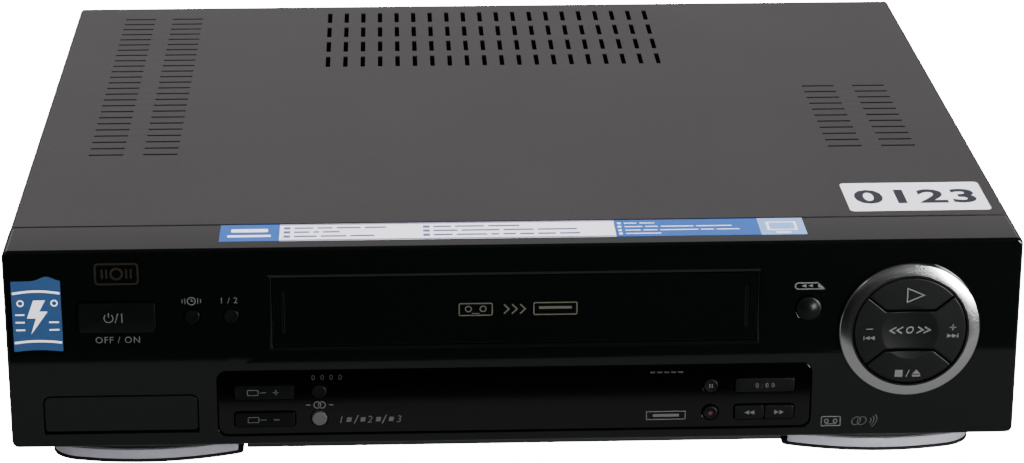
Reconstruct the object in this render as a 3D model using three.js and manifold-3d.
// A front-loading video cassette recorder, in millimetres.
// X runs across the front, Y from the front to the rear and Z up, from the middle of the base.
import * as THREE from "three";
import { mergeVertices } from "three/addons/utils/BufferGeometryUtils.js";
import Module from "manifold-3d";

const wasm = await Module();
wasm.setup();

// Whole recorder
const width = 400;
const depth = 340;
const height = 94;
const standout = 4.5; // the jog ring in front of the panel, and the aerial sockets behind the cover
const fit = 0.3; // gap between fixed neighbours
const running = 0.4; // gap round a moving piece
const glueLine = 0.1; // film of adhesive under the jog ring
const bite = 0.6; // how far joined solids reach into each other
const overrun = 2; // how far a cutter passes a face

// Top cover
const coverSheet = 0.8;
const coverInset = 0.5;
const coverBend = 2;
const coverHem = 10.2;
const coverRearLip = 8;
const sideVentLength = 14.5;
const sideVentWidth = 1.5;
const sideVentPitch = 8.57;
const sideVentRearIn = 19;
const sideVentSideIn = [54.2, 31.3];
const leftVentRows = 25;
const rightVentRows = 11;
const rightVentRearIn = 138.5;
const rearVentLength = 16;
const rearVentWidth = 2;
const rearVentPitch = 8.08;
const rearVentRowPitch = 24.2;
const rearVentIn = 20;
const rearVentRows = 4;
const rearVentColumns = 20;

// Front panel
const panelDepth = 27.4;
const panelWall = 4;
const panelSkin = 2.5;
const panelStepDown = 0.3;
const panelUnderside = 11.8;
const panelLipDrop = 1.5; // the front wall reaches lower than the rest
const panelLipDepth = 5.2;
const panelCorner = 2.6;
const panelEdge = 1.2;
const panelPostRadius = 2.5;
const panelPostDown = 10;

// Display window
const windowWidth = 236.5;
const windowHeight = 27.9;
const windowUp = 28.25;
const windowCorner = 4;
const windowInset = 0.8;
const windowThickness = 2;
const viewWidth = 136;
const viewHeight = 21.5;
const tubeWidth = 84;
const tubeHeight = 19;
const tubeThickness = 6;

// Cassette door
const doorWidth = 190.5;
const doorHeight = 28.2;
const doorUp = 66.35;
const doorInset = 1;
const doorThickness = 2;
const doorFrame = 1.9; // width of the slope round the door opening
const doorPivotIn = 7.6;
const doorPivotAbove = 3.5; // pivot over the door's top edge
const doorRelief = 0.6; // room behind the opening's lower edge for the swinging door
const doorPinRadius = 1;
const doorEarThickness = 2;
const doorEarIn = 4.2; // ears in from the door's ends
const doorEarRadius = 2.6;
const doorEarDrop = 4.5;
const doorRibUp = 16.8;
const doorRibWidth = 0.9;
const doorRibIn = 3.5;
const doorRibProud = 0.4;
const lugThickness = 3;
const lugRadius = 4;
const lugAway = 2; // lugs out from the door's ends
const springWire = 1;
const springLength = 4.5;
const springLeg = 1;

// Buttons and their switches
const travel = 1.2;
const buttonFlange = 1;
const buttonStem = 2;
const capEdge = 0.6;
const barCorner = 1;
const boardIn = 12;
const boardThickness = 1.6;
const boardMargin = 3; // room between the front board and its neighbours
const switchSide = 6;
const switchTall = 3.5;
const upperRowUp = 65.8;
const sideIn = 43.8; // standby button, jack cover and jog ring in from the sides
const standbyWidth = 29.9;
const standbyHeight = 12.4;
const standbyProud = 1.4;
const timerOut = 31.55; // these and the review button lie beside the door
const speedOut = 16.35;
const smallRadius = 3;
const smallProud = 0.8;
const reviewOut = 20.65;
const reviewRadius = 5;
const reviewProud = 1.4;
const reviewDome = 1.6;
const windowRowGap = 11.7;
const windowRowsUp = 27;
const windowDotIn = 40.35;
const windowBarIn = 18.75;
const windowBarWidth = 23.5;
const windowBarHeight = 5.8;
const windowProud = 0.3;
const skipGap = 0.5; // between the rewind and fast forward buttons

// Jog ring and the buttons in it
const ringUp = 56.3;
const ringOuter = 28;
const ringInner = 22.9;
const ringShares = [[0, 0], [1, 0], [1, 0.32], [0.93, 0.42], [0.27, 0.62], [0.2, 0.56], [0.18, 0.2], [0, 0.2]];
const clusterRadius = 22.3;
const clusterProud = 2.6;
const clusterLineUp = 8.4;
const clusterHalfLine = 9.8;
const clusterSlopeShare = 0.838;
const clusterGap = 0.7;
const clusterLip = 24.4;
const clusterStemOut = 15.5;
const dishRadius = 12;
const dishDepth = 0.7;
const rockerSwing = 3;
const rockerPivotIn = 3;
const rockerPostWidth = 3;
const rockerPostHeight = 10;

// Jack cover and the jacks behind it
const flapWidth = 60.2;
const flapHeight = 15.5;
const flapUp = 24.35;
const flapThickness = 2;
const flapBarrel = 1.2;
const flapCorner = 2.5;
const flapPinRadius = 0.7;
const flapPinLength = 2.2;
const tubWall = 1.5;
const tubWing = 3.5;
const tubDepth = 12;
const jackRadius = 4.15;
const jackBore = 1.7;
const jackPitch = 19;
const jackUp = 1.3; // jacks over the middle of the tub, clear of the cover's barrel
const jackBody = 12;
const jackBodyDepth = 9;

// Base frame, feet and rear panel
const baseUnderside = 9.8;
const baseFloor = 1.7;
const baseWall = 2;
const baseWallTop = 32;
const baseFrontIn = 5.5;
const apronGap = 2.4;
const apronDrop = 3.1;
const apronThickness = 5;
const floorSlotLength = 40;
const floorSlotWidth = 3;
const floorSlotPitch = 9;
const floorSlotCount = 8;
const floorSlotIn = 48;
const footWidth = 76.4;
const footDepth = 50;
const footBow = 7.5;
const footSideIn = 52.3;
const footFrontIn = 8;
const footOuterRound = 9;
const footInnerRound = 2.5;
const footSole = 1.6;
const footTrimTop = 4.9;
const footTrimThickness = 1.5;
const footTrimLength = 20;
const rearFootRadius = 15;
const rearFootStep = 1.5;
const rearFootSideIn = 45;
const rearFootIn = 32;
const rearSheet = 1.2;

// Boards
const boardUp = 18;
const postRadius = 3.5;
const postInset = 7;
const supplySideIn = 8;
const supplyGap = 7; // between the deck and the power supply
const supplyLength = 165;
const supplyRearIn = 25;
const mainSideIn = 6;
const mainGap = 3; // between the deck and the main board
const mainFrontIn = 42;
const mainRearIn = 6;
const mainStripWide = 34;
const mainStripPast = 45;

// Sockets on the rear panel
const scartAcross = 58;
const scartWidth = 52;
const scartHeight = 17;
const scartDepth = 20;
const scartMouthWidth = 47;
const scartMouthHeight = 12.6;
const scartMouthDepth = 12;
const scartTongueWidth = 41;
const scartTongueHeight = 6.6;
const scartTongueDeep = 6.5;
const scartShell = 1;
const scartProud = 1;
const audioAcross = 3;
const audioWidth = 16;
const audioTall = 42;
const audioDepth = 15;
const tunerSideIn = 56;
const tunerWidth = 52;
const tunerDepth = 40;
const tunerTall = 42;
const aerialRadius = 4.75;
const socketPitch = 19;
const inletSideIn = 48;
const inletUp = 36;
const inletWidth = 27;
const inletHeight = 20;
const inletDepth = 22;
const inletStep = 2;
const inletProud = 1;
const inletMouthWidth = 16;
const inletMouthHeight = 9;
const inletMouthDepth = 17;
const inletPinRadius = 1.2;
const inletPinOut = 4.3;
const inletPinLength = 11;

// Deck
const deckUp = 24;
const deckSheet = 1.6;
const deckWidth = 210;
const deckIn = 37; // deck, reels, heads and carriage are placed from the front face
const deckLength = 258;
const deckPostSideIn = 7;
const deckPostIn = 10;
const reelAcross = 46.25;
const reelBack = 155;
const reelRadius = 21;
const reelRim = 3;
const reelHub = 9;
const reelHubTall = 6;
const reelSpindle = 5;
const reelRib = 1.2;
const reelShaftTall = 17;
const reelTip = 3;
const spindleTall = 19;
const shaftRadius = 2;
const idlerRadius = 14;
const idlerPulley = 12;
const idlerTall = 6;
const pulleyTall = 4;
const pulleyUp = 15;
const beltThickness = 1.2;
const beltTall = 2.8;
const capstanAcross = 70;
const capstanBack = 214;
const capstanPulley = 7;
const capstanRotor = 20;
const capstanRotorTall = 2;
const capstanTall = 58;
const motorPlateWidth = 36;
const motorPlateLength = 50;
const motorPlateSheet = 1.6;
const bearingWall = 2.4;
const bearingTall = 1;
const pivotAcross = 86;
const pivotBack = 219;
const rollerAcross = 76;
const rollerBack = 201.7;
const rollerRadius = 7;
const rollerTall = 19;
const armWidth = 8;
const armThickness = 2;
const armBossTall = 6;
const armBossRadius = 5.2;
const armPivotTall = 9.4;
const rollerPinExtra = 2;
const armUp = 1.4; // arm over the deck plate
const drumBack = 248;
const drumRadius = 31;
const drumTilt = 6;
const drumLowerTall = 14;
const drumUpperTall = 16;
const drumLift = 4.6;
const drumFlange = 4;
const drumRecess = 2;
const drumHub = 8;
const drumShaftExtra = 2;
const drumPlinth = 3;
const drumColumn = 15.5;
const guideStartAcross = 27;
const guideStartBack = 188;
const guideEndAcross = 46;
const guideEndBack = 240;
const guideBase = 6;
const guideBaseTall = 4;
const guideRoller = 3.5;
const guideNeck = 2;
const guideFootTall = 1.6;
const guideTall = 23;
const eraseAcross = 66;
const eraseBack = 214;
const audioHeadAcross = 62;
const audioHeadBack = 232;
const headWidth = 10;
const headTall = 22;
const headPlate = 15;
const headPlateSheet = 1.6;
const loadingAcross = 82;
const loadingFront = 252;
const loadingRadius = 12;
const loadingLength = 32;
const wormRadius = 3;
const wormLength = 10;
const cradleInset = 2;

// Carriage that lowers the cassette
const cassetteWidth = 187;
const cassetteHeight = 25;
const holderPlay = 0.7; // beside the cassette
const holderSheet = 1.2;
const holderUp = 50.8;
const holderFront = 40;
const holderDepth = 96;
const holderLedge = 8;
const holderBridgeIn = 8;
const holderBridgeDepth = 62;
const slideTravel = 68;
const lowerTravel = 20;
const carriagePin = 1.5;
const holderPinIn = [20, 80];
const holderPinDrop = 5;
const sliderSheet = 1.4;
const sliderGap = 1.6;
const sliderInset = 4;
const sliderBelow = 4.8;
const sliderAbove = 5;
const sliderBarIn = 16;
const sliderBarDepth = 12;
const sliderPinIn = [6, 66];
const sliderPinUp = 63;
const frameGap = 0.7;
const frameSheet = 1.2;
const frameExtra = 6;
const frameLead = 3.2;
const frameBraceAbove = 1.5;
const frameBraceDepth = 16;
const frameBraceIn = 50;

// Values that follow from the sizes above
const front = -depth / 2;
const back = depth / 2;
const panelTop = height - panelStepDown;
const panelMiddle = (panelTop + panelUnderside) / 2;
const sideAcross = width / 2 - sideIn;
const timerAcross = doorWidth / 2 + timerOut;
const speedAcross = doorWidth / 2 + speedOut;
const reviewAcross = doorWidth / 2 + reviewOut;
const windowDotAcross = windowWidth / 2 - windowDotIn;
const windowBarAcross = windowWidth / 2 - windowBarIn;
const footAcross = width / 2 - footSideIn;
const rearFootAcross = width / 2 - rearFootSideIn;
const apronWidth = 2 * (footAcross - footWidth / 2 - apronGap);
const tunerAcross = width / 2 - tunerSideIn;
const inletAcross = width / 2 - inletSideIn;
const supplyInner = deckWidth / 2 + supplyGap;
const supplyOuter = width / 2 - supplySideIn;
const supplyRear = back - supplyRearIn;
const mainInner = deckWidth / 2 + mainGap;
const mainOuter = width / 2 - mainSideIn;
const mainFront = front + mainFrontIn;
const mainRear = back - mainRearIn;
const mainStripEnd = audioAcross - mainStripPast;
const rebate = windowInset + windowThickness + fit;
const flangeIn = panelWall + fit;
const stemEnd = boardIn - switchTall - travel - fit;
const doorTop = doorUp + doorHeight / 2;
const doorPivotUp = doorTop + doorPivotAbove;
const doorEarOuter = doorWidth / 2 - doorEarIn;
const lugInner = doorWidth / 2 + lugAway;
const floorTop = baseUnderside + baseFloor;
const coverInner = width / 2 - coverInset - coverSheet;
const rearInside = back - coverSheet - fit - rearSheet;
const boardTop = boardUp + boardThickness;
const deckTop = deckUp + deckSheet;
const windowUpperUp = windowRowsUp + windowRowGap / 2;
const windowLowerUp = windowRowsUp - windowRowGap / 2;
const skipWidth = (windowBarWidth - skipGap) / 2;
const skipAcross = (skipWidth + skipGap) / 2;
const rockerDrop = clusterLip * Math.sin(THREE.MathUtils.degToRad(rockerSwing)) + fit;
const rockerBack = flangeIn + rockerDrop + buttonFlange;
const lowerSocketUp = boardTop + fit + scartHeight / 2;
const upperSocketUp = lowerSocketUp + scartHeight + fit;
const holderInner = cassetteWidth / 2 + holderPlay;
const holderOuter = holderInner + holderSheet;
const holderTop = holderUp + cassetteHeight + 2 * holderSheet + holderPlay * 2;
const sliderInner = holderOuter + sliderGap;
const sliderOuter = sliderInner + sliderSheet;
const frameInner = sliderOuter + frameGap;
const frameOuter = frameInner + frameSheet;
const frameTop = holderTop + sliderAbove + frameBraceAbove + frameSheet;

// Finishes
const blackGloss = { color: 0x0b0d0d, roughness: 0.18, metalness: 0 };
const blackPlastic = { color: 0x141515, roughness: 0.45, metalness: 0 };
const darkButton = { color: 0x1a1b1b, roughness: 0.35, metalness: 0 };
const greyButton = { color: 0x6b6b6b, roughness: 0.4, metalness: 0 };
const coverPaint = { color: 0x4b484a, roughness: 0.5, metalness: 0.3 };
const satinMetal = { color: 0xa8a8a6, roughness: 0.3, metalness: 1 };
const silverTrim = { color: 0xb4b4b6, roughness: 0.35, metalness: 0.8 };
const steel = { color: 0x9b9ea0, roughness: 0.35, metalness: 1 };
const brightMetal = { color: 0xd2d3d4, roughness: 0.15, metalness: 1 };
const smokedGlass = { color: 0x050505, roughness: 0.05, metalness: 0 };
const tubeGlass = { color: 0x20302c, roughness: 0.1, metalness: 0 };
const boardGreen = { color: 0x2a5a3a, roughness: 0.6, metalness: 0 };
const boardTan = { color: 0x8a6a3c, roughness: 0.7, metalness: 0 };
const whitePlastic = { color: 0xc9c8c2, roughness: 0.5, metalness: 0 };
const rubber = { color: 0x161616, roughness: 0.85, metalness: 0 };
const gold = { color: 0xb79a4a, roughness: 0.3, metalness: 1 };

// Turns a closed geometry into a solid with its faces pointing out.
function solid(geometry) {
  const bare = geometry.clone();
  bare.deleteAttribute("normal");
  bare.deleteAttribute("uv");
  const merged = mergeVertices(bare);
  const corners = merged.index.array;
  const kept = [];
  for (let i = 0; i < corners.length; i += 3) {
    const [a, b, c] = corners.slice(i, i + 3);
    if (a !== b && b !== c && c !== a) kept.push(a, b, c);
  }
  const vertProperties = merged.attributes.position.array;
  const build = (order) =>
    new wasm.Manifold(new wasm.Mesh({ numProp: 3, vertProperties, triVerts: new Uint32Array(order) }));
  const made = build(kept);
  return made.volume() < 0 ? build(kept.reverse()) : made;
}

const asSolid = (shape) => (shape.isBufferGeometry ? solid(shape) : shape);
const join = (...shapes) => shapes.map(asSolid).reduce((all, next) => all.add(next));
const cut = (shape, ...tools) => tools.map(asSolid).reduce((left, tool) => left.subtract(tool), asSolid(shape));
const common = (...shapes) => shapes.map(asSolid).reduce((all, next) => all.intersect(next));

// Makes a named mesh from a solid and puts it in a group.
function piece(name, shape, finish, group, x = 0, y = 0, z = 0) {
  const made = asSolid(shape).getMesh();
  const geometry = new THREE.BufferGeometry();
  geometry.setAttribute("position", new THREE.BufferAttribute(new Float32Array(made.vertProperties), 3));
  geometry.setIndex(new THREE.BufferAttribute(new Uint32Array(made.triVerts), 1));
  geometry.computeVertexNormals();
  const mesh = new THREE.Mesh(geometry, new THREE.MeshStandardMaterial(finish));
  mesh.name = name;
  mesh.position.set(x, y, z);
  group.add(mesh);
  return mesh;
}

// A box between two values on each axis, in either order.
function block(x0, x1, y0, y1, z0, z1) {
  const box = new THREE.BoxGeometry(Math.abs(x1 - x0), Math.abs(y1 - y0), Math.abs(z1 - z0));
  return box.translate((x0 + x1) / 2, (y0 + y1) / 2, (z0 + z1) / 2);
}

const across = new THREE.Vector3(1, 0, 0);
const inward = new THREE.Vector3(0, 1, 0);
const upward = new THREE.Vector3(0, 0, 1);
const outward = new THREE.Vector3(0, -1, 0);
const bases = {
  x: new THREE.Matrix4().makeBasis(inward, upward, across),
  y: new THREE.Matrix4().makeBasis(across, upward, outward),
  z: new THREE.Matrix4(),
};

// An outline carried along an axis: (y, z) along x, (x, z) along y, or (x, y) along z.
function prism(outline, axis, from, to, arcSteps = 2, edge = 0) {
  const bevel = { bevelEnabled: edge > 0, bevelSize: edge, bevelThickness: edge, bevelOffset: -edge };
  const options = { depth: to - from - 2 * edge, curveSegments: arcSteps, bevelSegments: 2, ...bevel };
  const geometry = new THREE.ExtrudeGeometry(outline, options).translate(0, 0, edge);
  geometry.applyMatrix4(bases[axis]);
  const shift = { x: [from, 0, 0], y: [0, to, 0], z: [0, 0, from] }[axis];
  return geometry.translate(...shift);
}

// A round rod along an axis; a and b are its place on the other two axes.
function rod(axis, radius, from, to, a, b, sides = 16) {
  const geometry = new THREE.CylinderGeometry(radius, radius, to - from, sides);
  if (axis === "x") return geometry.rotateZ(-Math.PI / 2).translate((from + to) / 2, a, b);
  if (axis === "y") return geometry.translate(a, (from + to) / 2, b);
  return geometry.rotateX(Math.PI / 2).translate(a, b, (from + to) / 2);
}

// A turned shape from a profile of [radius, along] points, about the Y or the Z axis.
function turned(profile, axis, sides = 24) {
  const points = profile.map(([radius, along]) => new THREE.Vector2(radius, along));
  const geometry = new THREE.LatheGeometry(points, sides);
  return axis === "z" ? geometry.rotateX(Math.PI / 2) : geometry;
}

// A rectangle with round corners, about its own middle.
function roundedRect(wide, tall, radius, x = 0, y = 0) {
  const shape = new THREE.Shape();
  const [w, h] = [wide / 2 - radius, tall / 2 - radius];
  shape.absarc(x + w, y - h, radius, -Math.PI / 2, 0);
  shape.absarc(x + w, y + h, radius, 0, Math.PI / 2);
  shape.absarc(x - w, y + h, radius, Math.PI / 2, Math.PI);
  shape.absarc(x - w, y - h, radius, Math.PI, 1.5 * Math.PI);
  shape.closePath();
  return shape;
}

// The outline of a belt round two circles, or of a slot with round ends where they are alike.
function beltOutline(x1, y1, r1, x2, y2, r2) {
  const heading = Math.atan2(y2 - y1, x2 - x1);
  const spread = Math.acos((r1 - r2) / Math.hypot(x2 - x1, y2 - y1));
  const shape = new THREE.Shape();
  shape.absarc(x2, y2, r2, heading - spread, heading + spread);
  shape.absarc(x1, y1, r1, heading + spread, heading + 2 * Math.PI - spread);
  shape.closePath();
  return shape;
}

// A rectangular opening that narrows evenly along Y.
function slopedFrame(wide, tall, edge, y0, y1, up) {
  const geometry = new THREE.BoxGeometry(1, 1, 1);
  const place = geometry.attributes.position;
  for (let i = 0; i < place.count; i++) {
    const grown = place.getY(i) < 0 ? 2 * edge : 0;
    const y = place.getY(i) < 0 ? y0 : y1;
    place.setXYZ(i, place.getX(i) * (wide + grown), y, up + place.getZ(i) * (tall + grown));
  }
  return geometry;
}

const recorder = new THREE.Group();
const frontGroup = new THREE.Group();
frontGroup.position.y = front;
recorder.add(frontGroup);

// Buttons: where each one is, and its size
const roundButtons = [
  { name: "timer_button", x: -timerAcross, z: upperRowUp, radius: smallRadius, proud: smallProud },
  { name: "tape_speed_button", x: -speedAcross, z: upperRowUp, radius: smallRadius, proud: smallProud },
  { name: "review_button", x: reviewAcross, z: upperRowUp, radius: reviewRadius, proud: reviewProud },
  { name: "counter_reset_button", x: -windowDotAcross, z: windowUpperUp, radius: smallRadius, proud: windowProud },
  { name: "record_link_button", x: -windowDotAcross, z: windowLowerUp, radius: smallRadius, proud: windowProud },
  { name: "pause_button", x: windowDotAcross, z: windowUpperUp, radius: smallRadius, proud: windowProud },
  { name: "record_button", x: windowDotAcross, z: windowLowerUp, radius: smallRadius, proud: windowProud },
];
const bar = { w: windowBarWidth, h: windowBarHeight, proud: windowProud };
const barButtons = [
  { name: "standby_button", x: -sideAcross, z: upperRowUp, w: standbyWidth, h: standbyHeight, proud: standbyProud },
  { name: "channel_up_button", x: -windowBarAcross, z: windowUpperUp, ...bar },
  { name: "channel_down_button", x: -windowBarAcross, z: windowLowerUp, ...bar },
  { name: "display_button", x: windowBarAcross, z: windowUpperUp, ...bar },
  { name: "rewind_button", x: windowBarAcross - skipAcross, z: windowLowerUp, ...bar, w: skipWidth },
  { name: "fast_forward_button", x: windowBarAcross + skipAcross, z: windowLowerUp, ...bar, w: skipWidth },
];

// A round button turned about its own axis: cap, flange behind the panel and stem.
function roundButton({ radius, proud, name }) {
  const dome = name === "review_button" ? reviewDome : 0;
  const capShares = [0, 0.35, 0.65, 0.88];
  const flat = radius - capEdge;
  const cap = capShares.map((share) => [flat * share, -proud - dome * (1 - share * share)]);
  const body = [[flat, -proud], [radius, capEdge - proud], [radius, flangeIn], [radius + buttonFlange, flangeIn]];
  const rear = [[radius + buttonFlange, flangeIn + buttonFlange], [buttonStem, flangeIn + buttonFlange]];
  const stem = [[buttonStem, stemEnd], [0, stemEnd]];
  return turned([...(dome ? cap : [[0, -proud]]), ...body, ...rear, ...stem], "y", 16);
}

// A bar button: cap with soft edges, flange above and below, and stem.
function barButton({ w, h, proud }) {
  const cap = prism(roundedRect(w, h, barCorner), "y", -proud, flangeIn + buttonFlange, 2, capEdge / 2);
  const grown = h / 2 + buttonFlange;
  const flange = block(-w / 2, w / 2, flangeIn, flangeIn + buttonFlange, -grown, grown);
  const stem = rod("y", buttonStem, flangeIn + buttonFlange - bite, stemEnd, 0, 0);
  return join(cap, flange, stem);
}

// The holes that let the buttons through the panel and the window. Rewind and fast forward share one.
function buttonHoles() {
  const round = roundButtons.map(({ x, z, radius }) => rod("y", radius + running, -overrun, flangeIn, x, z));
  const alone = barButtons.filter(({ w }) => w > skipWidth);
  const shared = { x: windowBarAcross, z: windowLowerUp, ...bar };
  const bars = [...alone, shared].map(({ x, z, w, h }) => {
    const outline = roundedRect(w + 2 * running, h + 2 * running, barCorner + running, x, z);
    return prism(outline, "y", -overrun, flangeIn);
  });
  return [...round, ...bars];
}

// Places of the posts between the panel and the board behind it
const windowTop = windowUp + windowHeight / 2;
const postPlaces = [
  [-sideAcross - standbyWidth / 2, (flapUp + flapHeight / 2 + upperRowUp - standbyHeight / 2) / 2],
  [-speedAcross, (windowTop + upperRowUp - smallRadius) / 2],
  [0, (windowTop + doorTop - doorHeight) / 2],
  [reviewAcross, panelTop - panelPostDown],
  [sideAcross + ringOuter, ringUp + ringOuter],
  [sideAcross + ringOuter, ringUp - ringOuter],
];
const flapLow = flapUp - flapHeight / 2;
const flapPinUp = flapLow + flapBarrel;

// The front panel: a deep moulding with an opening for each thing in it.
function frontPanel() {
  const lip = panelUnderside - panelLipDrop;
  const outline = roundedRect(width, panelTop - lip, panelCorner, 0, (panelTop + lip) / 2);
  const shell = prism(outline, "y", 0, panelDepth + overrun * 2, 2, panelEdge);
  const inside = [width / 2 - panelSkin, panelUnderside + panelSkin, panelTop - panelSkin];
  const hollow = block(-inside[0], inside[0], panelWall, panelDepth + overrun * 3, inside[1], inside[2]);
  const trimmed = block(-width, width, panelDepth, panelDepth + overrun * 3, 0, height * 2);
  const behindLip = block(-width, width, panelLipDepth, panelDepth + overrun * 3, 0, panelUnderside);
  const posts = postPlaces.map(([x, z]) => rod("y", panelPostRadius, panelWall - bite, boardIn - fit, x, z, 8));
  const lugs = [-1, 1].map((side) => {
    const ends = [side * lugInner, side * (lugInner + lugThickness)];
    const deep = doorPivotIn + lugRadius;
    return block(...ends, panelWall - bite, deep, doorPivotUp - lugRadius, doorPivotUp + lugRadius);
  });
  const doorHole = [doorWidth + 2 * running, doorHeight + 2 * running];
  const doorway = slopedFrame(...doorHole, 0, -overrun, flangeIn, doorUp);
  const slope = slopedFrame(...doorHole, doorFrame * 2, -doorInset, doorInset, doorUp);
  const [reliefWide, reliefLow] = [doorHole[0] / 2, doorTop - doorHeight - running - doorRelief];
  const relief = block(-reliefWide, reliefWide, doorInset + doorThickness / 2, flangeIn, reliefLow, doorUp);
  const reach = lugInner + lugThickness + overrun;
  const pinHole = rod("x", doorPinRadius + running, -reach, reach, doorPivotIn, doorPivotUp, 12);
  const window = roundedRect(windowWidth, windowHeight, windowCorner, 0, windowUp);
  const recess = prism(window, "y", -overrun, rebate, 3);
  const view = [windowUp - viewHeight / 2, windowUp + viewHeight / 2];
  const viewHole = block(-viewWidth / 2, viewWidth / 2, -overrun, flangeIn, ...view);
  const ringHole = rod("y", ringInner, -overrun, flangeIn, sideAcross, ringUp, 40);
  const flapWide = flapWidth / 2 + running;
  const flapEnds = [flapLow - fit, flapUp + flapHeight / 2 + fit];
  const flapSides = [-sideAcross - flapWide, -sideAcross + flapWide];
  const flapHole = block(...flapSides, -overrun, flangeIn, flapEnds[0], flapUp);
  const flapSize = [2 * flapWide, flapEnds[1] - flapEnds[0], flapCorner + running];
  const flapOutline = roundedRect(...flapSize, -sideAcross, (flapEnds[0] + flapEnds[1]) / 2);
  const flapArch = prism(flapOutline, "y", -overrun, flangeIn, 3);
  const flapPins = flapWidth / 2 + flapPinLength + running;
  const flapBore = [flapPinRadius + running, -sideAcross - flapPins, -sideAcross + flapPins];
  const flapPinHole = rod("x", ...flapBore, flapBarrel, flapPinUp, 12);
  const doorCuts = [doorway, slope, relief, pinHole];
  const openings = [...doorCuts, recess, viewHole, ringHole, flapHole, flapArch, flapPinHole];
  return cut(join(cut(shell, hollow, trimmed, behindLip), ...posts, ...lugs), ...openings, ...buttonHoles());
}

// The smoked window that lies in the panel's recess.
function displayWindow() {
  const outline = roundedRect(windowWidth - 2 * fit, windowHeight - 2 * fit, windowCorner - fit, 0, windowUp);
  return cut(prism(outline, "y", windowInset, windowInset + windowThickness, 3), ...buttonHoles());
}

// The cassette door, with its ears and pins.
function cassetteDoor() {
  const [half, inside] = [doorWidth / 2, doorInset + doorThickness];
  const plate = block(-half, half, doorInset, inside, doorTop - doorHeight, doorTop);
  const ribs = [-1, 1].map((side) => {
    const ends = [side * (half - doorRibIn), side * (half - doorRibIn - doorRibWidth)];
    const low = doorUp - doorRibUp / 2;
    return block(...ends, doorInset - doorRibProud, doorInset + bite, low, low + doorRibUp);
  });
  const ears = [-1, 1].flatMap((side) => {
    const ends = [side * doorEarOuter, side * (doorEarOuter - doorEarThickness)];
    const [low, rear] = [doorTop - doorEarDrop, doorPivotIn + doorEarRadius / 2];
    const foot = block(...ends, inside - bite, rear, low, doorTop - fit);
    const arm = block(...ends, doorPivotIn - doorEarRadius, rear, low, doorPivotUp);
    const round = rod("x", doorEarRadius, Math.min(...ends), Math.max(...ends), doorPivotIn, doorPivotUp);
    const tip = side * (lugInner + lugThickness);
    const pinEnds = [Math.min(ends[0] - side * bite, tip), Math.max(ends[0] - side * bite, tip)];
    return [foot, arm, round, rod("x", doorPinRadius, ...pinEnds, doorPivotIn, doorPivotUp, 12)];
  });
  return join(plate, ...ribs, ...ears);
}

// The spring round the door's right pin, with the leg that rests on the panel.
function doorSpring() {
  const start = doorEarOuter + fit;
  const inner = doorPinRadius + fit;
  const coil = rod("x", inner + springWire, start, start + springLength, doorPivotIn, doorPivotUp);
  const bore = rod("x", inner, start - overrun, start + springLength + overrun, doorPivotIn, doorPivotUp);
  const legEnds = [start + springLength - springWire, start + springLength];
  const leg = block(...legEnds, flangeIn, doorPivotIn, doorPivotUp + inner, doorPivotUp + inner + springLeg);
  return cut(join(coil, leg), bore);
}

// The jog ring: a crown turned about the middle of the buttons.
function jogRing() {
  const wide = ringOuter - ringInner;
  const profile = ringShares.map(([out, up]) => [ringInner + wide * out, -glueLine - (standout - glueLine) * up]);
  return turned([...profile, profile[0]], "y", 40);
}

// The wedge above (side 1) or below (side -1) the middle of the jog buttons.
function wedge(side, shift, from, to) {
  const low = clusterLineUp + shift;
  const high = low + clusterLip * clusterSlopeShare;
  const wide = clusterHalfLine + clusterLip;
  const shape = new THREE.Shape();
  shape.moveTo(-clusterHalfLine, side * low);
  shape.lineTo(clusterHalfLine, side * low);
  shape.lineTo(wide, side * high);
  shape.lineTo(-wide, side * high);
  shape.closePath();
  return prism(shape, "y", from, to);
}

// The shallow dish that the play, stop and jog buttons share in the middle.
function dish() {
  const floor = dishDepth - clusterProud;
  const mouth = -clusterProud;
  const clear = mouth - overrun;
  return turned([[0, floor], [dishRadius / 2, floor], [dishRadius, mouth], [dishRadius, clear], [0, clear]], "y");
}

// Play (side 1) or stop and eject (side -1): a part of the disc, with a lip behind the panel.
function clusterButton(side) {
  const rear = flangeIn + buttonFlange;
  const disc = join(
    rod("y", clusterRadius, -clusterProud, rear, 0, 0, 40),
    rod("y", clusterLip, flangeIn, rear, 0, 0, 40),
  );
  const cap = common(disc, wedge(side, clusterGap / 2, -clusterProud - overrun, rear + overrun));
  return join(cut(cap, dish()), rod("y", buttonStem, rear - bite, stemEnd, 0, side * clusterStemOut));
}

// The jog rocker: what is left of the disc, on a post that stands in a pocket at its back.
function jogRocker() {
  const disc = join(
    rod("y", clusterRadius, -clusterProud, rockerBack, 0, 0, 40),
    rod("y", clusterLip, rockerBack - buttonFlange, rockerBack, 0, 0, 40),
  );
  const ends = [-clusterProud - overrun, rockerBack + overrun];
  const gaps = [-1, 1].map((side) => wedge(side, -clusterGap / 2, ...ends));
  const wide = rockerPostWidth;
  const tall = rockerPostHeight / 2 + running * 2;
  const pocket = block(-wide, wide, rockerPivotIn - fit, rockerBack + overrun, -tall, tall);
  return cut(disc, ...gaps, pocket, dish());
}

// The jack cover: a flap that turns in the panel on a barrel along its lower edge.
function jackCover() {
  const [half, low] = [flapWidth / 2, -flapHeight / 2];
  const pinUp = low + flapBarrel;
  const plate = block(-half, half, 0, flapThickness, pinUp, flapHeight / 2);
  const barrel = rod("x", flapBarrel, -half, half, flapBarrel, pinUp);
  const outline = roundedRect(flapWidth, flapHeight, flapCorner);
  const shape = common(join(plate, barrel), prism(outline, "y", -overrun, flapBarrel * 2 + overrun));
  return join(shape, rod("x", flapPinRadius, -half - flapPinLength, half + flapPinLength, flapBarrel, pinUp, 12));
}

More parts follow.
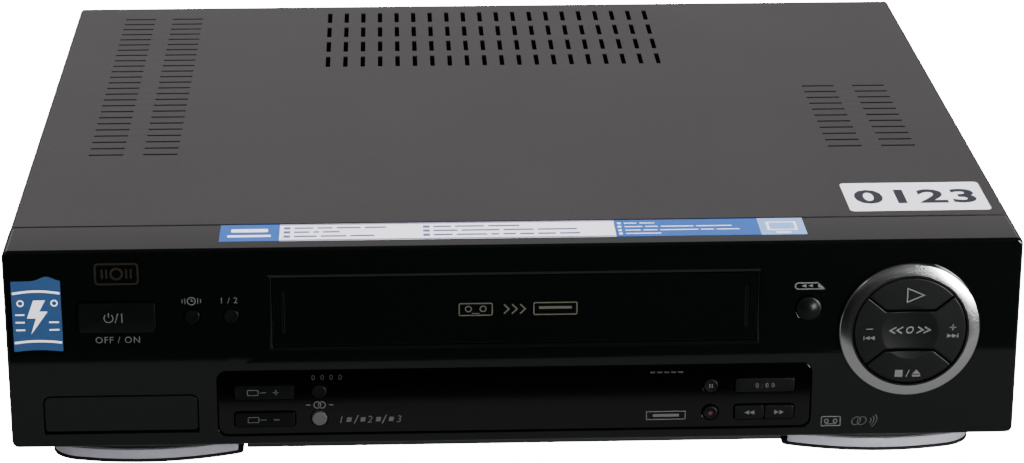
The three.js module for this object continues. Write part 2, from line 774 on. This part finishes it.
// The tub behind the jack cover, with three jacks.
function jackBlock() {
  const [wide, tall] = [flapWidth / 2 + running, flapHeight / 2 + running];
  const rear = flangeIn + tubDepth;
  const outer = block(-wide - tubWall, wide + tubWall, flangeIn, rear, -tall - tubWall, tall + tubWall);
  const wing = flapWidth / 2 + tubWing;
  const wings = block(-wing, wing, flangeIn, flangeIn + tubWall, -tall - tubWall, tall + tubWall);
  const inner = block(-wide, wide, 0, rear - tubWall, -tall, tall);
  const jacks = [-1, 0, 1].flatMap((place) => {
    const x = place * jackPitch;
    const sleeve = rod("y", jackRadius, flapThickness + fit * 2, rear - bite, x, jackUp);
    return [sleeve, block(x - jackBody / 2, x + jackBody / 2, rear - bite, rear + jackBodyDepth, -tall, tall)];
  });
  const bores = [-1, 0, 1].map((place) => rod("y", jackBore, 0, rear - tubWall, place * jackPitch, jackUp, 12));
  return cut(join(cut(join(outer, wings), inner), ...jacks), ...bores);
}

// The board behind the panel: it goes round the door and the tub, and carries the switches.
function frontBoard() {
  const [y0, y1] = [boardIn, boardIn + boardThickness];
  const edge = width / 2 - panelSkin - boardMargin;
  const low = panelUnderside + panelSkin + fit;
  const doorSide = lugInner + lugThickness + boardMargin;
  const beside = doorUp - doorHeight / 2 - boardMargin;
  const tubEnd = sideAcross - flapWidth / 2 - tubWing - boardMargin;
  const standbyEnd = sideAcross + standbyWidth / 2 + boardMargin;
  const strip = block(-tubEnd, edge, y0, y1, low, beside);
  const rightTower = block(doorSide, edge, y0, y1, beside - bite, panelTop - panelSkin - boardMargin);
  const aboveTub = flapUp + flapHeight / 2 + tubWing + boardMargin;
  const leftTower = block(-standbyEnd, -doorSide, y0, y1, aboveTub, doorTop);
  const half = switchSide / 2;
  const places = [...roundButtons, ...barButtons].map(({ x, z }) => [x, z]);
  places.push([sideAcross, ringUp + clusterStemOut], [sideAcross, ringUp - clusterStemOut]);
  places.push([sideAcross + clusterStemOut, ringUp], [sideAcross - clusterStemOut, ringUp]);
  const switches = places.map(([x, z]) => {
    return block(x - half, x + half, y0 - switchTall, y0 + bite, z - half, z + half);
  });
  const [postHalf, postTall] = [rockerPostWidth / 2, rockerPostHeight / 2];
  const postEnds = [sideAcross - postHalf, sideAcross + postHalf, rockerPivotIn, y0 + bite];
  const post = block(...postEnds, ringUp - postTall, ringUp + postTall);
  return join(strip, rightTower, leftTower, ...switches, post);
}

piece("front_panel", frontPanel(), blackGloss, frontGroup);
piece("display_window", displayWindow(), smokedGlass, frontGroup);
piece("cassette_door", cassetteDoor(), blackGloss, frontGroup);
piece("door_spring", doorSpring(), steel, frontGroup);
piece("jog_ring", jogRing(), satinMetal, frontGroup, sideAcross, 0, ringUp);
piece("play_button", clusterButton(1), darkButton, frontGroup, sideAcross, 0, ringUp);
piece("stop_eject_button", clusterButton(-1), darkButton, frontGroup, sideAcross, 0, ringUp);
piece("push_jog_rocker", jogRocker(), darkButton, frontGroup, sideAcross, 0, ringUp);
for (const button of roundButtons) {
  const finish = button.name === "record_link_button" ? greyButton : darkButton;
  piece(button.name, roundButton(button), finish, frontGroup, button.x, 0, button.z);
}
for (const button of barButtons) {
  piece(button.name, barButton(button), darkButton, frontGroup, button.x, 0, button.z);
}
piece("jack_cover", jackCover(), blackGloss, frontGroup, -sideAcross, 0, flapUp);
piece("front_jack_block", jackBlock(), blackPlastic, frontGroup, -sideAcross, 0, flapUp);
piece("front_board", frontBoard(), boardTan, frontGroup);
const tubeFront = boardIn - fit - tubeThickness;
const tubeBox = [-tubeWidth / 2, tubeWidth / 2, tubeFront, boardIn - fit];
piece("display_tube", block(...tubeBox, -tubeHeight / 2, tubeHeight / 2), tubeGlass, frontGroup, 0, 0, windowUp);

// The top cover: one bent sheet with a lip over the rear panel and three groups of vents.
function topCover() {
  const [half, inner] = [width / 2 - coverInset, coverInner];
  const [top, under] = [height, height - coverSheet];
  const outline = new THREE.Shape();
  outline.moveTo(half, coverHem);
  outline.absarc(half - coverBend, top - coverBend, coverBend, 0, Math.PI / 2);
  outline.absarc(coverBend - half, top - coverBend, coverBend, Math.PI / 2, Math.PI);
  outline.lineTo(-half, coverHem);
  outline.lineTo(-inner, coverHem);
  outline.lineTo(-inner, under);
  outline.lineTo(inner, under);
  outline.lineTo(inner, coverHem);
  outline.closePath();
  const sheet = prism(outline, "y", front + panelDepth + fit, back, 1);
  const lip = block(-inner - fit, inner + fit, back - coverSheet, back, height - coverRearLip, under + fit);
  const vents = [];
  const slot = (x, y, wide, long) => {
    vents.push(block(x - wide / 2, x + wide / 2, y - long / 2, y + long / 2, under - overrun, top + overrun));
  };
  for (const inset of sideVentSideIn) {
    const x = width / 2 - inset;
    for (let row = 0; row < leftVentRows; row++) {
      slot(-x, back - sideVentRearIn - row * sideVentPitch, sideVentLength, sideVentWidth);
    }
    for (let row = 0; row < rightVentRows; row++) {
      slot(x, back - rightVentRearIn - row * sideVentPitch, sideVentLength, sideVentWidth);
    }
  }
  for (let row = 0; row < rearVentRows; row++) {
    for (let column = 0; column < rearVentColumns; column++) {
      const x = (column - (rearVentColumns - 1) / 2) * rearVentPitch;
      slot(x, back - rearVentIn - row * rearVentRowPitch, rearVentWidth, rearVentLength);
    }
  }
  return cut(join(sheet, lip), ...vents);
}

// Posts of the base frame: under the deck, and under the two boards
const deckPostAcross = deckWidth / 2 - deckPostSideIn;
const deckPostPlaces = [-1, 1].flatMap((side) => [
  [side * deckPostAcross, front + deckIn + deckPostIn],
  [side * deckPostAcross, front + deckIn + deckLength - deckPostIn],
]);
const boardPostPlaces = [
  [-supplyOuter + postInset, supplyRear - supplyLength + postInset],
  [-supplyInner - postInset, supplyRear - supplyLength + postInset],
  [-supplyInner - postInset, supplyRear - postInset],
  [mainInner + postInset, mainFront + postInset],
  [mainOuter - postInset, mainFront + postInset],
  [mainOuter - postInset, mainRear - postInset],
  [mainStripEnd + postInset, mainRear - postInset],
];

// The base frame: a tray with a lowered edge between the feet, posts and floor slots.
function baseFrame() {
  const edge = coverInner - fit - baseWall - fit;
  const [start, behind] = [front + baseFrontIn, front + panelDepth + fit * 2];
  const floor = block(-edge, edge, start, rearInside + rearSheet, baseUnderside, floorTop);
  const walls = [-1, 1].map((side) => {
    const ends = [side * (coverInner - fit), side * (edge - bite)];
    return block(...ends, behind, rearInside - fit, baseUnderside, baseWallTop);
  });
  const apronEnds = [-apronWidth / 2, apronWidth / 2, start, start + apronThickness];
  const apron = block(...apronEnds, baseUnderside - apronDrop, baseUnderside + bite);
  const deckPosts = deckPostPlaces.map(([x, y]) => rod("z", postRadius, floorTop - bite, deckUp - fit, x, y, 8));
  const boardPosts = boardPostPlaces.map(([x, y]) => rod("z", postRadius, floorTop - bite, boardUp - fit, x, y, 8));
  const pad = rod("z", postRadius, floorTop - bite, pulleyUp - running, capstanAcross, front + capstanBack, 8);
  const slots = [-1, 1].flatMap((side) =>
    Array.from({ length: floorSlotCount }, (_, place) => {
      const x = side * (width / 2 - floorSlotIn) - floorSlotLength / 2;
      const y = (place - (floorSlotCount - 1) / 2) * floorSlotPitch;
      return block(x, x + floorSlotLength, y, y + floorSlotWidth, 0, floorTop + bite);
    }),
  );
  return cut(join(floor, ...walls, apron, ...deckPosts, ...boardPosts, pad), ...slots);
}

// A front foot's outline from above: bowed to the front, round outside and tight inside.
function footOutline(side, inset) {
  const half = footWidth / 2 - inset;
  const ends = -footDepth / 2 + footBow + inset;
  const [inner, outer] = [half - footInnerRound, half - footOuterRound];
  const [innerShare, outerShare] = [0.1, 0.5];
  const innerY = ends - footBow * innerShare;
  const outerY = ends - footBow * outerShare;
  const peakY = 2 * (ends - footBow) - (innerY + outerY) / 2;
  const shape = new THREE.Shape();
  shape.moveTo(-side * half, footDepth / 2 - inset);
  shape.lineTo(-side * half, ends + footInnerRound);
  shape.quadraticCurveTo(-side * half, ends, -side * inner, innerY);
  shape.quadraticCurveTo((side * (outer - inner)) / 2, peakY, side * outer, outerY);
  shape.quadraticCurveTo(side * half, ends, side * half, ends + footOuterRound);
  shape.lineTo(side * half, footDepth / 2 - inset);
  shape.closePath();
  return shape;
}

const footTop = baseUnderside - fit;
const footSteps = 5;

// A front foot: a sole, and a core that the trim strip goes round.
function frontFoot(side) {
  const sole = prism(footOutline(side, -fit), "z", 0, footSole, footSteps);
  const core = prism(footOutline(side, footTrimThickness + fit), "z", 0, footTop, footSteps);
  return join(sole, core);
}

// The silver strip round the front of a foot.
function footTrim(side) {
  const [low, high] = [footSole + fit, footTrimTop];
  const ring = prism(footOutline(side, 0), "z", low, high, footSteps);
  const hole = prism(footOutline(side, footTrimThickness), "z", low - overrun, high + overrun, footSteps);
  const start = footTrimLength - footDepth / 2;
  return cut(ring, hole, block(-footWidth, footWidth, start, footDepth, 0, height));
}

// A rear foot: a turned pad.
function rearFoot() {
  const waist = rearFootRadius - rearFootStep;
  const profile = [[0, 0], [waist, 0], [rearFootRadius, footSole], [rearFootRadius, footTrimTop], [waist, footTop]];
  return turned([...profile, [0, footTop]], "z", 20);
}

piece("top_cover", topCover(), coverPaint, recorder);
piece("base_frame", baseFrame(), blackPlastic, recorder);
for (const [name, side] of [["left", -1], ["right", 1]]) {
  const place = [side * footAcross, front + footFrontIn + footDepth / 2, 0];
  piece(`${name}_front_foot`, frontFoot(side), rubber, recorder, ...place);
  piece(`${name}_foot_trim`, footTrim(side), silverTrim, recorder, ...place);
  piece(`${name}_rear_foot`, rearFoot(), rubber, recorder, side * rearFootAcross, back - rearFootIn, 0);
}

// Sockets at the rear, each made about its own middle with its mouth at the rear edge of the cover
const socketGroup = new THREE.Group();
socketGroup.position.y = back;
recorder.add(socketGroup);
const insideEdge = rearInside - back - fit;

// A SCART socket: a shell with a contact block deep in its mouth.
function scartSocket() {
  const [w, h] = [scartMouthWidth / 2, scartMouthHeight / 2];
  const body = block(-scartWidth / 2, scartWidth / 2, -scartDepth, insideEdge, -scartHeight / 2, scartHeight / 2);
  const grown = [w + scartShell, h + scartShell];
  const shell = block(-grown[0], grown[0], -scartDepth, scartProud, -grown[1], grown[1]);
  const mouth = block(-w, w, scartProud - scartMouthDepth, scartProud + overrun, -h, h);
  const tongueEnds = [-scartTongueWidth / 2, scartTongueWidth / 2, -scartDepth, scartProud - scartTongueDeep];
  const tongue = block(...tongueEnds, -scartTongueHeight / 2, scartTongueHeight / 2);
  return join(cut(join(body, shell), mouth), tongue);
}

// Two phono jacks, one over the other, on one block.
function audioJacks() {
  const low = -audioTall / 2;
  const body = block(-audioWidth / 2, audioWidth / 2, -audioDepth, insideEdge, low, low + audioTall);
  const sleeves = [-1, 1].map((side) => {
    return rod("y", jackRadius, insideEdge - bite, standout, 0, (side * socketPitch) / 2);
  });
  const bores = [-1, 1].map((side) => rod("y", jackBore, -bite, standout + bite, 0, (side * socketPitch) / 2, 12));
  return cut(join(body, ...sleeves), ...bores);
}

// The tuner can with the aerial input and output.
function tunerModule() {
  const low = -tunerTall / 2;
  const can = block(-tunerWidth / 2, tunerWidth / 2, -tunerDepth, insideEdge, low, low + tunerTall);
  const sockets = [-1, 1].map((side) => {
    return rod("y", aerialRadius, insideEdge - bite, standout, 0, (side * socketPitch) / 2);
  });
  const bores = [-1, 1].map((side) => rod("y", jackBore, -bite, standout + bite, 0, (side * socketPitch) / 2, 12));
  return cut(join(can, ...sockets), ...bores);
}

// The mains inlet: a deep mouth with round ends and two pins.
function mainsInlet() {
  const [w, h] = [inletWidth / 2, inletHeight / 2];
  const body = block(-w, w, insideEdge - inletDepth, insideEdge, -h, h);
  const [cw, ch] = [w - inletStep, h - inletStep];
  const collar = block(-cw, cw, insideEdge - bite, inletProud, -ch, ch);
  const outline = roundedRect(inletMouthWidth, inletMouthHeight, inletMouthHeight / 2 - fit);
  const mouth = prism(outline, "y", inletProud - inletMouthDepth, inletProud + overrun, 3);
  const pinStart = inletProud - inletMouthDepth - bite;
  const pins = [-1, 1].map((side) => {
    return rod("y", inletPinRadius, pinStart, pinStart + inletPinLength, side * inletPinOut, 0, 12);
  });
  return join(cut(join(body, collar), mouth), ...pins);
}

// The rear panel, with a hole for each socket.
function rearPanel() {
  const [y0, y1] = [rearInside, rearInside + rearSheet];
  const edge = coverInner - fit;
  const sheet = block(-edge, edge, y0, y1, floorTop + fit, height - coverSheet - fit);
  const through = [y0 - overrun, y1 + overrun];
  const round = (x, z, radius) => rod("y", radius + running, ...through, x, z, 24);
  const square = (x, z, w, h) => block(x - w, x + w, ...through, z - h, z + h);
  const scartHole = [scartMouthWidth / 2 + scartShell + fit, scartMouthHeight / 2 + scartShell + fit];
  const holes = [lowerSocketUp, upperSocketUp].map((z) => square(scartAcross, z, ...scartHole));
  for (const side of [-1, 1]) {
    const offset = (side * socketPitch) / 2;
    holes.push(round(audioAcross, boardTop + fit + audioTall / 2 + offset, jackRadius));
    holes.push(round(tunerAcross, boardTop + fit + tunerTall / 2 + offset, aerialRadius));
  }
  holes.push(square(-inletAcross, inletUp, inletWidth / 2 - inletStep + fit, inletHeight / 2 - inletStep + fit));
  return cut(sheet, ...holes);
}

piece("rear_panel", rearPanel(), blackPlastic, recorder);
piece("scart_socket_lower", scartSocket(), blackPlastic, socketGroup, scartAcross, 0, lowerSocketUp);
piece("scart_socket_upper", scartSocket(), blackPlastic, socketGroup, scartAcross, 0, upperSocketUp);
piece("audio_out_jacks", audioJacks(), brightMetal, socketGroup, audioAcross, 0, boardTop + fit + audioTall / 2);
piece("tuner_module", tunerModule(), steel, socketGroup, tunerAcross, 0, boardTop + fit + tunerTall / 2);
piece("mains_inlet", mainsInlet(), blackPlastic, socketGroup, -inletAcross, 0, inletUp);

// Things that stand on the boards: [across, along, wide, long, tall] as shares of the board's own size
const mainPartShares = [
  [0.2, 0.2, 0.12, 0.2, 0.45],
  [0.6, 0.3, 0.35, 0.12, 0.08],
  [0.55, 0.55, 0.3, 0.1, 0.08],
  [0.75, 0.75, 0.2, 0.08, 0.3],
  [0.25, 0.6, 0.14, 0.05, 0.25],
];
const supplyPartShares = [
  [0.5, 0.3, 0.5, 0.28, 0.5],
  [0.2, 0.62, 0.08, 0.4, 0.5],
  [0.7, 0.88, 0.4, 0.1, 0.3],
];
const canShares = [
  [0.75, 0.6, 0.13, 0.45],
  [0.5, 0.75, 0.08, 0.35],
  [0.45, 0.08, 0.09, 0.3],
];

// Stands boxes and round capacitors on a board's top.
function boardParts(x0, y0, wide, long, boxes, cans) {
  const room = frameTop - boardTop;
  const squares = boxes.map(([x, y, w, l, tall]) => {
    const [cx, cy] = [x0 + wide * x, y0 + long * y];
    const sides = [cx - (wide * w) / 2, cx + (wide * w) / 2, cy - (long * l) / 2, cy + (long * l) / 2];
    return block(...sides, boardTop - bite, boardTop + room * tall);
  });
  const rounds = cans.map(([x, y, radius, tall]) => {
    return rod("z", wide * radius, boardTop - bite, boardTop + room * tall, x0 + wide * x, y0 + long * y);
  });
  return [...squares, ...rounds];
}

// The main board: an L that reaches along the rear panel under the sockets.
function mainBoard() {
  const side = block(mainInner, mainOuter, mainFront, mainRear, boardUp, boardTop);
  const strip = block(mainStripEnd, mainOuter, mainRear - mainStripWide, mainRear, boardUp, boardTop);
  const long = mainRear - mainStripWide - mainFront;
  const parts = boardParts(mainInner, mainFront, mainOuter - mainInner, long, mainPartShares, []);
  return join(side, strip, ...parts);
}

// The power supply board with its transformer, heatsink and capacitors.
function powerSupply() {
  const [wide, y0] = [supplyOuter - supplyInner, supplyRear - supplyLength];
  const board = block(-supplyOuter, -supplyInner, y0, supplyRear, boardUp, boardTop);
  return join(board, ...boardParts(-supplyOuter, y0, wide, supplyLength, supplyPartShares, canShares));
}

piece("main_board", mainBoard(), boardGreen, recorder);
piece("power_supply", powerSupply(), boardTan, recorder);

// The deck, with heights from its top face
const deckGroup = new THREE.Group();
deckGroup.position.set(0, front, deckTop);
recorder.add(deckGroup);
const beltMiddle = pulleyUp + pulleyTall / 2 - deckTop;
const pulleyBottom = pulleyUp - deckTop;
const slotRadius = shaftRadius + running;

// The deck plate: its bores, the slots of the tape guides, and the fixed shafts.
function deckPlate() {
  const plate = block(-deckWidth / 2, deckWidth / 2, deckIn, deckIn + deckLength, -deckSheet, 0);
  const shafts = [-1, 1].map((side) => {
    return rod("z", shaftRadius, -bite, reelShaftTall, side * reelAcross, reelBack, 12);
  });
  const pivot = rod("z", shaftRadius, -bite, armPivotTall, pivotAcross, pivotBack, 12);
  const bearing = rod("z", slotRadius + bearingWall, -bite, bearingTall, capstanAcross, capstanBack);
  const slots = [-1, 1].map((side) => {
    const start = [side * guideStartAcross, guideStartBack, slotRadius];
    const outline = beltOutline(...start, side * guideEndAcross, guideEndBack, slotRadius);
    return prism(outline, "z", -deckSheet - overrun, overrun, 4);
  });
  const bores = [
    rod("z", slotRadius, -deckSheet - overrun, bearingTall + overrun, capstanAcross, capstanBack),
    rod("z", slotRadius, -deckSheet - overrun, overrun, 0, reelBack),
  ];
  return cut(join(plate, ...shafts, pivot, bearing), ...slots, ...bores);
}

// A reel table: a rim, a hub and a spindle with three ribs, bored for its shaft.
function reelTable() {
  const disc = [[0, fit], [reelRadius, fit], [reelRadius, reelRim], [reelHub, reelRim], [reelHub, reelHubTall]];
  const spindle = [[reelSpindle, reelHubTall], [reelSpindle, spindleTall], [0, spindleTall + reelTip]];
  const ribs = [0, 1, 2].map((turn) => {
    const rib = block(0, reelSpindle + reelRib, -reelRib / 2, reelRib / 2, reelHubTall - bite, spindleTall - bite);
    return rib.rotateZ((turn * 2 * Math.PI) / 3);
  });
  const bore = rod("z", slotRadius, -overrun, reelShaftTall + fit, 0, 0);
  return cut(join(turned([...disc, ...spindle], "z", 20), ...ribs), bore);
}

// The idler between the reel tables, with the pulley under the deck.
function reelIdler() {
  const [low, high] = [pulleyBottom, pulleyBottom + pulleyTall];
  const pulley = [[0, low], [idlerPulley, low], [idlerPulley, high], [shaftRadius, high]];
  const gear = [[shaftRadius, fit], [idlerRadius, fit], [idlerRadius, reelRim], [shaftRadius, idlerTall]];
  return turned([...pulley, ...gear, [0, idlerTall]], "z", 20);
}

// The capstan: pulley, rotor and a long ground shaft in one.
function capstan() {
  const high = pulleyBottom + pulleyTall;
  const pulley = [[0, pulleyBottom], [capstanPulley, pulleyBottom], [capstanPulley, high], [capstanRotor, high]];
  const rotorTop = high + capstanRotorTall;
  const shaft = [[capstanRotor, rotorTop], [shaftRadius, rotorTop], [shaftRadius, capstanTall - deckTop]];
  return turned([...pulley, ...shaft, [0, capstanTall - deckTop]], "z", 20);
}

// The motor's stator plate, right under the deck.
function capstanMotor() {
  const [w, l] = [motorPlateWidth / 2, motorPlateLength / 2];
  const top = -deckSheet - fit;
  const bore = rod("z", slotRadius, top - motorPlateSheet - overrun, overrun, 0, 0);
  return cut(block(-w, w, -l, l, top - motorPlateSheet, top), bore);
}

// The belt from the capstan to the idler.
function driveBelt() {
  const ends = (grow) => [0, reelBack, idlerPulley + grow, capstanAcross, capstanBack, capstanPulley + grow];
  const [low, high] = [beltMiddle - beltTall / 2, beltMiddle + beltTall / 2];
  const outer = prism(beltOutline(...ends(fit + beltThickness)), "z", low, high, 8);
  const inner = prism(beltOutline(...ends(fit)), "z", low - overrun, high + overrun, 8);
  return cut(outer, inner);
}

const armReach = [rollerAcross - pivotAcross, rollerBack - pivotBack];

// The pinch arm, about its pivot: a boss, the arm and the roller's pin.
function pinchArm() {
  const [low, high] = [armUp, armUp + armThickness];
  const arm = prism(beltOutline(0, 0, armWidth / 2, ...armReach, armWidth / 2), "z", low, high, 4);
  const boss = rod("z", armBossRadius, low, low + armBossTall, 0, 0);
  const pin = rod("z", shaftRadius, low, high + rollerTall + rollerPinExtra, ...armReach, 12);
  return cut(join(arm, boss, pin), rod("z", slotRadius, 0, high + rollerTall, 0, 0));
}

// The rubber roller on the arm's pin.
function pinchRoller() {
  const low = armUp + armThickness + fit;
  const ring = [[slotRadius, low], [rollerRadius, low], [rollerRadius, low + rollerTall]];
  return turned([...ring, [slotRadius, low + rollerTall], [slotRadius, low]], "z", 20);
}

// A tape guide: a foot in the deck's slot, a base and a roller on its post.
function tapeGuide() {
  const washer = -deckSheet - fit;
  const foot = [[0, washer - guideFootTall], [guideRoller, washer - guideFootTall], [guideRoller, washer]];
  const base = [[shaftRadius, washer], [shaftRadius, fit], [guideBase, fit], [guideBase, guideBaseTall]];
  const post = [[shaftRadius, guideBaseTall], [shaftRadius, guideBaseTall + guideNeck]];
  const roller = [[guideRoller, guideBaseTall + guideNeck], [guideRoller, guideTall], [0, guideTall]];
  return turned([...foot, ...base, ...post, ...roller], "z", 14);
}

// A fixed head on its foot plate.
function fixedHead() {
  const [half, plate] = [headWidth / 2, headPlate / 2];
  const foot = block(-plate, plate, -plate, plate, fit, fit + headPlateSheet);
  return join(foot, block(-half, half, -half, half, fit, headTall));
}

// The motor that moves the carriage, lying along Y with its worm to the front.
function loadingMotor() {
  const up = loadingRadius + fit;
  const can = rod("y", loadingRadius, 0, loadingLength, 0, up, 20);
  const worm = rod("y", wormRadius, -wormLength, bite, 0, up, 12);
  const cradle = block(-loadingRadius, loadingRadius, cradleInset, loadingLength - cradleInset, fit, up / 2);
  return join(can, worm, cradle);
}

const tilt = THREE.MathUtils.degToRad(drumTilt);
const drumShaft = drumLowerTall + running + drumUpperTall + drumShaftExtra;

// The fixed lower drum: a leaning cylinder on a plinth, with the shaft of the head drum.
function lowerDrum() {
  const lean = (shape) => shape.rotateX(tilt).translate(0, 0, drumLift);
  const drum = lean(rod("z", drumRadius, 0, drumLowerTall, 0, 0, 32));
  const shaft = lean(rod("z", shaftRadius, 0, drumShaft, 0, 0));
  const plinth = rod("z", drumRadius + drumFlange, fit, drumPlinth, 0, 0, 32);
  const column = rod("z", drumColumn, fit, drumLowerTall, 0, 0);
  return join(plinth, column, drum, shaft);
}

// The head drum, about its own axis, bored for the shaft.
function headDrum() {
  const low = drumLowerTall + running;
  const high = low + drumUpperTall;
  const [rim, step] = [drumRadius - drumFlange, high - drumRecess];
  const outside = [[slotRadius, low], [drumRadius, low], [drumRadius, high], [rim, high], [rim, step]];
  const hub = [[drumHub, step], [drumHub, high], [slotRadius, high], [slotRadius, low]];
  return turned([...outside, ...hub], "z", 32);
}

piece("deck_plate", deckPlate(), steel, deckGroup);
piece("supply_reel_table", reelTable(), whitePlastic, deckGroup, -reelAcross, reelBack, 0);
piece("takeup_reel_table", reelTable(), whitePlastic, deckGroup, reelAcross, reelBack, 0);
piece("reel_idler", reelIdler(), whitePlastic, deckGroup, 0, reelBack, 0);
piece("capstan", capstan(), brightMetal, deckGroup, capstanAcross, capstanBack, 0);
piece("capstan_motor", capstanMotor(), boardGreen, deckGroup, capstanAcross, capstanBack, 0);
piece("drive_belt", driveBelt(), rubber, deckGroup);
piece("pinch_arm", pinchArm(), steel, deckGroup, pivotAcross, pivotBack, 0);
piece("pinch_roller", pinchRoller(), rubber, deckGroup, rollerAcross, rollerBack, 0);
piece("supply_guide", tapeGuide(), brightMetal, deckGroup, -guideStartAcross, guideStartBack, 0);
piece("takeup_guide", tapeGuide(), brightMetal, deckGroup, guideStartAcross, guideStartBack, 0);
piece("erase_head", fixedHead(), gold, deckGroup, -eraseAcross, eraseBack, 0);
piece("audio_head", fixedHead(), gold, deckGroup, audioHeadAcross, audioHeadBack, 0);
piece("loading_motor", loadingMotor(), steel, deckGroup, loadingAcross, loadingFront, 0);
piece("lower_drum", lowerDrum(), brightMetal, deckGroup, 0, drumBack, 0);
const drumGroup = new THREE.Group();
drumGroup.position.set(0, drumBack, drumLift);
drumGroup.rotation.x = tilt;
deckGroup.add(drumGroup);
piece("head_drum", headDrum(), brightMetal, drumGroup);

// The holder: open below, with ledges under the cassette's ends, a bridge over it and four pins.
function cassetteHolder() {
  const rear = holderFront + holderDepth;
  const bridgeFront = holderFront + holderBridgeIn;
  const bridge = [bridgeFront, bridgeFront + holderBridgeDepth, holderTop - holderSheet, holderTop];
  const parts = [block(-holderOuter, holderOuter, ...bridge)];
  for (const side of [-1, 1]) {
    const outer = side * holderOuter;
    parts.push(block(side * holderInner, outer, holderFront, rear, holderUp, holderTop));
    parts.push(block(side * (holderInner - holderLedge), outer, holderFront, rear, holderUp, holderUp + holderSheet));
    for (const inset of holderPinIn) {
      const ends = [outer - side * bite, side * (sliderOuter - running)];
      const place = [holderFront + inset, holderTop - holderPinDrop];
      parts.push(rod("x", carriagePin, Math.min(...ends), Math.max(...ends), ...place, 12));
    }
  }
  return join(...parts);
}

// The slider: two sides with upright slots for the holder's pins, a bar over the holder and four pins.
function carriageSlider() {
  const [start, rear] = [holderFront + sliderInset, holderFront + holderDepth - sliderInset];
  const [low, high] = [holderUp - sliderBelow, holderTop + sliderAbove];
  const barFront = holderFront + sliderBarIn;
  const parts = [block(-sliderOuter, sliderOuter, barFront, barFront + sliderBarDepth, high - sliderSheet, high)];
  const slots = [];
  for (const side of [-1, 1]) {
    const outer = side * sliderOuter;
    parts.push(block(side * sliderInner, outer, start, rear, low, high));
    for (const inset of sliderPinIn) {
      const ends = [outer - side * bite, side * frameOuter];
      const place = [start + inset, sliderPinUp];
      parts.push(rod("x", carriagePin, Math.min(...ends), Math.max(...ends), ...place, 12));
    }
    for (const inset of holderPinIn) {
      const half = carriagePin + running;
      const top = holderTop - holderPinDrop + half;
      const [y, bottom] = [holderFront + inset, top - 2 * half - lowerTravel];
      slots.push(block(side * (sliderInner - overrun), outer + side * fit, y - half, y + half, bottom, top));
    }
  }
  return cut(join(...parts), ...slots);
}

// The carriage frame: two plates on the deck with a long slot for the slider's pins, and a brace.
function carriageFrame() {
  const start = holderFront - frameLead;
  const rear = holderFront + holderDepth + slideTravel + frameExtra;
  const low = deckTop + fit;
  const braceFront = holderFront + frameBraceIn;
  const brace = [braceFront, braceFront + frameBraceDepth, frameTop - frameSheet, frameTop];
  const parts = [block(-frameOuter, frameOuter, ...brace)];
  const slots = [];
  for (const side of [-1, 1]) {
    parts.push(block(side * frameInner, side * frameOuter, start, rear, low, frameTop));
    const half = carriagePin + running;
    const first = holderFront + sliderInset + sliderPinIn[0] - half;
    const last = holderFront + sliderInset + sliderPinIn[1] + slideTravel + half;
    const through = [side * (frameInner - frameGap / 2), side * (frameOuter + overrun)];
    slots.push(block(...through, first, last, sliderPinUp - half, sliderPinUp + half));
  }
  return cut(join(...parts), ...slots);
}

piece("cassette_holder", cassetteHolder(), steel, frontGroup);
piece("carriage_slider", carriageSlider(), steel, frontGroup);
piece("carriage_frame", carriageFrame(), steel, frontGroup);

export default recorder;
